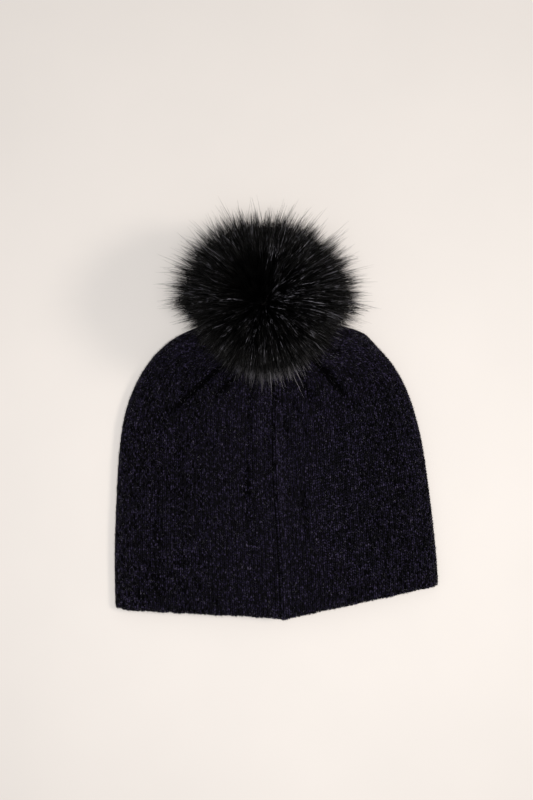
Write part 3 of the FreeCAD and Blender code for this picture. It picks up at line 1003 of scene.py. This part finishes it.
def make_hem_stitches(rim):
    """Overcast stitches that hold the lining's edge to the knit."""
    edge = rim[:-1]
    over = np.roll(edge, -1, 0) - edge
    inside = np.where(edge[:, 2:] > EDGE_LEVEL + 2, -1.0, 1.0) * np.array([0, 0, 1.0])
    starts = edge + np.array([0, -1.1, 0]) + inside * 0.2
    ends = edge + over * 0.8 + np.array([0, 1.9, 0]) + inside * 1.0
    clear = np.abs(edge[:, 0] + 1) < 104
    slanted_thread("hem_overcast", starts[clear], ends[clear], 0.28, "hem_stitching")


def make_label():
    """A blank woven label with a fold at its sewn end, and the stitches that hold it."""
    low, high = (np.array(c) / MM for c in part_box("care_label"))
    index = np.arange(25 * 17).reshape(25, 17)
    u = np.linspace(0, 1, 25)[:, None]
    v = np.linspace(0, 1, 17)[None, :]
    x = low[0] + (high[0] - low[0]) * u
    y = low[1] + (high[1] - low[1]) * v
    curl = 0.9 * (1 - v) ** 3 + 0.25 * np.sin(u * 5 + 0.5) * (1 - v)
    bottom = low[2] + 0.05 + np.maximum(curl, 0)
    sheet = np.stack(np.broadcast_arrays(x, y, bottom), -1)
    points = np.concatenate([sheet, sheet + np.array([0, 0, 0.32])])
    top = [index[:-1, :-1], index[1:, :-1], index[1:, 1:], index[:-1, 1:]]
    top = np.stack(top, -1).reshape(-1, 4)
    border = np.concatenate([index[:, 0], index[-1, 1:], index[-2::-1, -1], index[0, -2:0:-1]])
    after = np.roll(border, -1)
    shift = index.size
    rim = np.stack([border, after, after + shift, border + shift], -1)
    piece = make_mesh("label_blank", [label_tape], points, [top[:, ::-1], top + shift, rim])
    settle(piece, "hat", "label_tape", "care_label")
    low, high = (np.array(c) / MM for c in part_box("label_stitches"))
    xs = np.linspace(low[0], high[0] - 2.6, 8)
    starts = np.stack([xs, xs * 0 + low[1] + 0.1, xs * 0 + low[2] + 0.2], -1)
    ends = starts + np.array([2.2, 0.25, 0])
    slanted_thread("label_tack", starts, ends, 0.2, "label_stitches")


# Crown and press stud


def turned_ring(name, profile, steps, ripple, finish, slot, node):
    """A closed outline of (radius, level) turned about the axis, with its levels rippled."""
    r, z = np.array(profile, float).T[:, None]
    angle = np.linspace(0, 2 * np.pi, steps, endpoint=False)[:, None]
    points = from_local(turned(r, angle, z + ripple(r, z, angle)))
    piece = make_mesh(name, [finish], points, [ring_faces(steps, len(profile))])
    settle(piece, "crown", slot, node)


def make_crown():
    yarn_loop("crown_yarn", 9.3, 0.9, -1.0, 34, "gather", "gather_yarn")

    def crimps(r, z, angle):
        share = smooth((r - 3) / 4) * smooth((z + 1.4) / 0.8)
        return -0.35 * share * (1 - np.cos(22 * angle + 0.7 * np.sin(5 * angle))) * 0.8

    rosette = [(2.05, -2), (5, -2), (8.2, -2), (8.3, -1.2), (7.9, -0.5), (7.2, -0.15)]
    rosette += [(6.4, -0.05), (5.6, -0.05), (4, -0.05), (2.05, -0.05)]
    turned_ring("crown_rosette", rosette, 176, crimps, KNIT_TONES[0], "knit", "crown_gather")

    def nap(r, z, angle):
        return 0.05 * np.sin(9 * angle + r * 3) * np.cos(r * 2.1 + 4 * angle)

    patch = [(2.05, -3.15), (4, -3.15), (6, -3.15), (7.5, -3.12), (7.65, -2.6), (7.5, -2.08)]
    patch += [(6, -2.05), (4, -2.05), (2.05, -2.05)]
    turned_ring("felt_disc", patch, 96, nap, felt, "felt", "felt_patch")
    finishes = dict.fromkeys(("socket_cap", "snap_socket", "snap_stud", "stud_rivet"), snap_metal)
    finishes.update(snap_spring=spring_steel, pom_base_disc=stiff_disc)
    for node, finish in finishes.items():
        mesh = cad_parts[node].data
        mesh.materials.clear()
        mesh.materials.append(finish)


# Pom pom


def ball_grid(radius, first, rings, steps, ripple):
    """Rings of points over the pom pom's ball, from angle first at its mouth to its top."""
    angle = np.linspace(0, 2 * np.pi, steps, endpoint=False)[None, :]
    down = np.linspace(first, math.pi, rings)[:, None]
    r = radius + ripple(down, angle)
    return turned(r * np.sin(down), angle, SKIN_LEVEL - r * np.cos(down))


def make_pom_core():
    """The fur's backing, drawn in at its mouth, the wadding in it and the drawstring."""

    def puckers(down, angle):
        return -0.5 + 0.45 * np.cos(24 * angle) * smooth((0.9 - down) / 0.5)

    steps = 96
    outer = ball_grid(SKIN_RADIUS, 0.40, 40, steps, puckers)
    inner = ball_grid(SKIN_RADIUS - 1.1, 0.40, 40, steps, puckers)
    points = from_local(np.concatenate([outer[::-1], inner]))
    skin = make_mesh("pom_backing", [fur_backing], points, [grid_faces(80, steps)])
    settle(skin, "pom", "fur_backing", "pom_skin")

    def lumps(down, angle):
        return -1.0 + 0.35 * np.sin(5 * angle + 3 * down) * np.sin(down * 7) * np.sin(down)

    steps = 72
    ball = ball_grid(29.2, 0.36, 36, steps, lumps)
    floor = ball[:1] * np.array([0.45, 0.45, 1])
    points = from_local(np.concatenate([floor, ball]))
    faces = [grid_faces(37, steps), np.arange(steps)[None, ::-1]]
    fill = make_mesh("pom_wadding", [wadding], points, faces)
    settle(fill, "pom", "wadding", "pom_fill")
    yarn_loop("pom_cord", 9.2, 0.55, 6.45, 44, "pom", "pom_drawstring")


def hat_top(x, y):
    """Height of the hat's upper side, or of the floor beside it."""
    share = (y - HEM_Y) / LENGTH
    width, rise, middle = section(share, 0)
    inside = np.clip(1 - ((x - middle) / np.maximum(width, 1)) ** 2, 0, 1)
    covered = (share > 0) & (share < 1) & (inside > 0)
    return np.where(covered, EDGE_LEVEL * 0.5 + rise * np.sqrt(inside) + 2.0, 0.0)


def fur_directions(count):
    """Even directions over the ball apart from its mouth, each with a little scatter."""
    index = np.arange(count) + 0.5
    level = -0.90 + 1.90 * index / count
    turn = index * math.pi * (3 - math.sqrt(5))
    local = turned(np.sqrt(np.maximum(0, 1 - level**2)), turn, level)
    return unit(local + rng.normal(0, 0.016, local.shape))


def nearest(directions, centres):
    """The index of the centre nearest to each direction."""
    found = np.empty(len(directions), int)
    for some in np.array_split(np.arange(len(directions)), 24):
        found[some] = np.argmax(directions[some] @ centres.T, 1)
    return found


def fur_paths():
    """Centrelines of the hairs, from the backing out to the pile's edge."""
    local = fur_directions(HAIRS)
    tufts = fur_directions(TUFTS)
    tufts = unit(tufts + rng.normal(0, 0.03, tufts.shape))
    own = nearest(local, tufts)
    centre = from_local([0, 0, SKIN_LEVEL])
    middle = from_local([0, 0, PILE_LEVEL])
    d = local @ AXES
    tuft = tufts[own] @ AXES
    root = centre + d * SKIN_RADIUS * 0.99
    kind = rng.random(HAIRS)
    short = rng.uniform(0.45, 0.75, HAIRS)
    usual = rng.uniform(0.82, 1.0, HAIRS)
    long = rng.uniform(1.0, 1.25, HAIRS)
    share = np.where(kind < 0.16, short, np.where(kind < 0.92, usual, long))
    spiky = rng.random(TUFTS) < 0.40
    size = np.where(spiky, rng.uniform(0.98, 1.28, TUFTS), rng.uniform(0.88, 0.97, TUFTS))
    share = share * size[own]
    share = share * (1 - 0.16 * np.clip(d[:, 2], 0, 1) ** 2 - 0.12 * np.clip(d[:, 1], 0, 1))
    fringe = smooth((-0.30 - local[:, 1]) / 0.3) * smooth((0.45 - local[:, 2]) / 0.3)
    share = share * (1 - fringe * rng.uniform(0.12, 0.75, HAIRS))
    beside = np.where(d[:, 0] < 0, 0.36, 0.22) * np.abs(d[:, 0]) ** 1.5
    share = share * (1 - beside * smooth((0.10 - d[:, 1]) / 0.35))
    share = share * (1 + 0.24 * np.clip(-d[:, 0], 0, 1) * np.clip(d[:, 1], 0, 1))
    out = unit(d + rng.normal(0, 0.07, d.shape) + 0.12 * rng.normal(size=(TUFTS, 3))[own])
    gap = root - middle
    along = (gap * out).sum(-1)
    reach = -along + np.sqrt(np.maximum(along**2 - (gap**2).sum(-1) + FUR_RADIUS**2, 1))
    reach = (reach * share)[:, None]
    t = np.linspace(0, 1, HAIR_POINTS)[None, :, None]
    paths = root[:, None] + out[:, None] * reach[:, None] * t
    tuft_root = centre + tuft * SKIN_RADIUS
    tuft_out = unit(tuft + 0.12 * rng.normal(size=(TUFTS, 3))[own])
    tuft_line = tuft_root[:, None] + tuft_out[:, None] * reach[:, None] * t
    pull = np.where(spiky, rng.uniform(0.6, 0.9, TUFTS), rng.uniform(0.2, 0.7, TUFTS))
    paths = paths + (tuft_line - paths) * (pull[own][:, None, None] * t**1.3)
    level = np.clip(d[:, 2], -1, 1)[:, None]
    fall = np.array([0, 0, -1.0]) * (0.10 + 0.12 * rng.random(HAIRS))[:, None]
    splay = unit(d * np.array([1, 1, 0])) * (0.10 + 0.18 * np.clip(level, 0, 1))
    bend = (fall * (1.1 - np.abs(level)) + splay) * reach
    paths = paths + bend[:, None] * t**2
    stray = rng.normal(0, 0.45, (HAIRS, 1, 3)) * t**2
    return paths + stray + FUR_LEAN * (reach / 24)[:, None] * t**1.5


def rest_on_hat(paths):
    """Lift hairs that would go through the hat or the floor so that they lie over it."""
    paths[..., 2] = np.minimum(paths[..., 2], FUR_TOP)
    spare = rng.uniform(0.7, 3.4, (HAIRS, 1)) + 0.6 * np.arange(HAIR_POINTS)[None, ::-1]
    base = hat_top(paths[..., 0], paths[..., 1])
    keep_above(paths, base + np.where(base > 0, spare, 0.5 + 0.3 * spare))
    return paths


def make_fur():
    """The pile in layers, and the fringe as a piece of its own."""
    paths = rest_on_hat(fur_paths())
    local = to_local(paths)
    r, _, level = polar(paths)
    dish = 7.5 + (r - 12.8) / 4.95
    low = ((level < dish - 0.5) & (r > 14)).any(1) & (local[:, -1, 1] < 6)
    shape = np.array([1.0, 0.95, 0.66, 0.14])
    across = unit(rng.normal(size=(HAIRS, 1, 3))) * np.ones((1, HAIR_POINTS, 1))
    x, y, _ = paths[:, -1].T
    # painted shade: fewer of the sheen-painted grey and pale hairs in a patch up and left of the whorl
    shade_spot = ((x - FUR_SHADE_SPOT[0]) / 14) ** 2 + ((y - FUR_SHADE_SPOT[1]) / 18) ** 2
    # painted light: the fringe lying over the crown takes the palest, lit tone
    lit_fringe = np.clip(1.25 - np.abs(local[:, -1, 0] + 1) / 34, 0, 1)
    lit_fringe = lit_fringe * smooth((-13 - local[:, -1, 1]) / 14) * low
    whorl = ((x - WHORL[0]) ** 2 + (y - WHORL[1]) ** 2) / 13**2
    draw = rng.random(HAIRS) * (1 - 0.5 * bell(shade_spot))
    # painted sheen: more grey and pale hairs about the whorl, and toward the right, where the key light
    # falls
    draw = draw + 0.80 * lit_fringe + 0.30 * np.exp(-whorl) + (x + 10) * 0.0003
    tones = np.searchsorted((0.61, 0.89, 0.955, 1.30), draw)
    thick = np.array([0.17, 0.17, 0.17, 0.18, 0.16])[tones] * rng.uniform(0.8, 1.2, HAIRS)
    hairs = (paths, across, thick[:, None] * shape[None, :], tones)
    high = np.flatnonzero(~low)
    high = high[np.argsort(local[high, -1, 2], kind="stable")]
    layers = [(f"fur_pile_{n}", some) for n, some in enumerate(np.array_split(high, 5))]
    for name, some in layers + [("fur_fringe", np.flatnonzero(low))]:
        piece = make_hairs(name, some, hairs, FUR_TONES, "pom", "faux_fur", "pom_fur_pile")
    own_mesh(piece)


# Floor, light and camera


def floor_material():
    """Pale matt paper, with painted light falloff: a little darker away from the middle."""
    made = mottled("floor", (0.800, 0.767, 0.745), (0.820, 0.785, 0.762), 9, 0.9, 0.15)
    # painted light falloff: the colour is scaled down with distance from the middle of the floor
    away = distance_from(made, (0.03, -0.04, 0))
    fade = rescale(made, away, 0.06, 0.46, 1.0, 0.84, interpolation_type="SMOOTHSTEP")
    scale_colour(made, fade)
    return made


def make_stage():
    """The floor, an even sky and two round lamps."""
    size = 20.0
    mesh = bpy.data.meshes.new("floor")
    corners = [(-size, -size, 0), (size, -size, 0), (size, size, 0), (-size, size, 0)]
    mesh.from_pydata(corners, [], [(0, 1, 2, 3)])
    mesh.materials.append(floor_material())
    add_object("floor", mesh)

    world = bpy.data.worlds.new("studio")
    world.use_nodes = True
    sky = world.node_tree.nodes["Background"]
    sky.inputs["Color"].default_value = (0.99, 0.985, 0.975, 1)
    sky.inputs["Strength"].default_value = 0.345
    bpy.context.scene.world = world

    def lamp(name, place, target, size, power, colour):
        light = bpy.data.lights.new(name, "AREA")
        light.shape = "DISK"
        light.size = size
        light.energy = power
        light.color = colour
        thing = add_object(name, light)
        thing.location = place
        x, y, z = np.array(target) - np.array(place)
        thing.rotation_euler = (math.atan2(math.hypot(x, y), -z), 0, math.atan2(-x, y))

    lamp("key", (1.55, 0.15, 1.65), (0, 0.02, 0), 0.55, 14.5, (1.0, 0.905, 0.81))
    lamp("top", (0.02, 0.0, 1.7), (0.02, 0.0, 0), 0.6, 19.5, (1.0, 0.975, 0.945))


def make_camera():
    """Straight above the hat, with the crown at the top of the picture."""
    camera = bpy.data.cameras.new("camera")
    camera.sensor_fit = "VERTICAL"
    camera.sensor_height = 36
    camera.lens = 70
    thing = add_object("camera", camera)
    thing.location = (-0.0089, 0.0505, 1.083)
    bpy.context.scene.camera = thing


make_camera()
make_stage()
make_ground()
make_knit()
make_fuzz()
make_seam_thread()
make_hem_stitches(make_lining())
make_label()
make_crown()
make_pom_core()
make_fur()

bpy.context.scene.view_settings.view_transform = "Standard"
